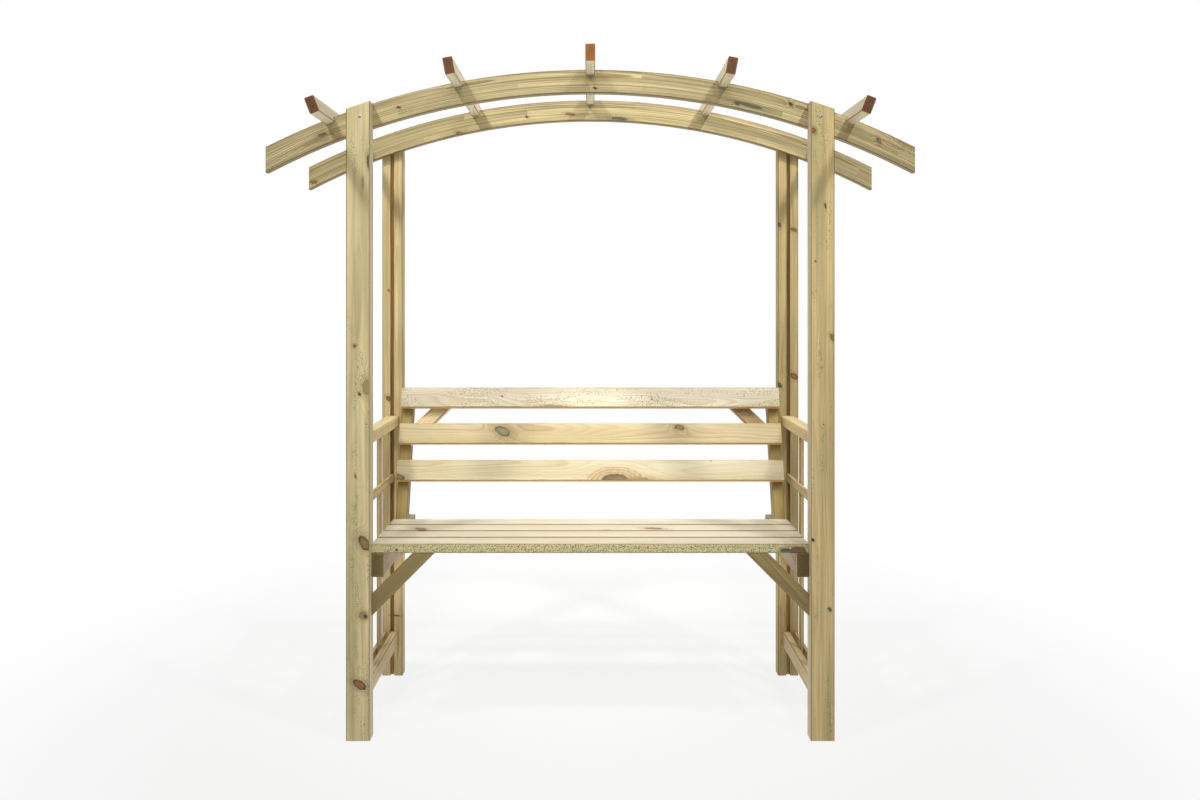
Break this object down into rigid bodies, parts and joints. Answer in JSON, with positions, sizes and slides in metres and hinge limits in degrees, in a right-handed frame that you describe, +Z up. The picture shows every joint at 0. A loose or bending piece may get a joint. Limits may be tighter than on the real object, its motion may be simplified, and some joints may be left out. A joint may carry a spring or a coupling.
{
  "type": "garden arbour seat",
  "caption": "Slatted wooden garden bench with a reclined back between slender posts, under an open roof of curved arches and purlins, with armrests and light slatted sides.",
  "frame": {"origin": "middle of the footprint, on the ground, at the bottom of the bounding box", "axes": "+X to the right as seen by someone facing the seat, +Y from the open front to the back, +Z up"},
  "size_m": [1.92, 0.7594, 2.003],
  "materials": {
    "post_wood": "planed pine, pressure treated, dull greenish khaki, bare",
    "arch_wood": "glued curved pine laminations, planed, khaki, bare",
    "purlin_wood": "sawn pine, pressure treated, tan with brown-stained ends, bare",
    "seat_wood": "planed pine with eased edges, pale cream, bare",
    "back_wood": "planed pine with eased edges, pale honey, bare",
    "rail_wood": "planed pine, pressure treated, light khaki, bare",
    "screw_steel": "zinc plated, satin, blue-grey"
  },
  "bodies": {
    "root": {"arch_screw_1": "screw_steel", "arch_screw_2": "screw_steel", "arch_screw_3": "screw_steel", "arch_screw_4": "screw_steel", "armrest_left": "rail_wood", "armrest_right": "rail_wood", "back_brace_left": "rail_wood", "back_brace_right": "rail_wood", "back_slat_1": "back_wood", "back_slat_2": "back_wood", "back_slat_3": "back_wood", "back_stile_left": "rail_wood", "back_stile_right": "rail_wood", "bearer_screw_1": "screw_steel", "bearer_screw_2": "screw_steel", "bearer_screw_3": "screw_steel", "bearer_screw_4": "screw_steel", "bottom_rail_left": "rail_wood", "bottom_rail_right": "rail_wood", "foot_batten_left": "rail_wood", "foot_batten_right": "rail_wood", "front_arch": "arch_wood", "front_post_left": "post_wood", "front_post_right": "post_wood", "middle_rail_left": "rail_wood", "middle_rail_right": "rail_wood", "purlin_1": "purlin_wood", "purlin_2": "purlin_wood", "purlin_3": "purlin_wood", "purlin_4": "purlin_wood", "purlin_5": "purlin_wood", "purlin_screw_1": "screw_steel", "purlin_screw_10": "screw_steel", "purlin_screw_2": "screw_steel", "purlin_screw_3": "screw_steel", "purlin_screw_4": "screw_steel", "purlin_screw_5": "screw_steel", "purlin_screw_6": "screw_steel", "purlin_screw_7": "screw_steel", "purlin_screw_8": "screw_steel", "purlin_screw_9": "screw_steel", "rear_arch": "arch_wood", "rear_post_left": "post_wood", "rear_post_right": "post_wood", "seat_bearer_left": "rail_wood", "seat_bearer_right": "rail_wood", "seat_brace_left": "rail_wood", "seat_brace_right": "rail_wood", "seat_slat_1": "seat_wood", "seat_slat_2": "seat_wood", "seat_slat_3": "seat_wood", "seat_slat_4": "seat_wood", "side_slat_left_1": "rail_wood", "side_slat_left_2": "rail_wood", "side_slat_right_1": "rail_wood", "side_slat_right_2": "rail_wood", "stile_screw_1": "screw_steel", "stile_screw_2": "screw_steel"}
  },
  "joints": []
}
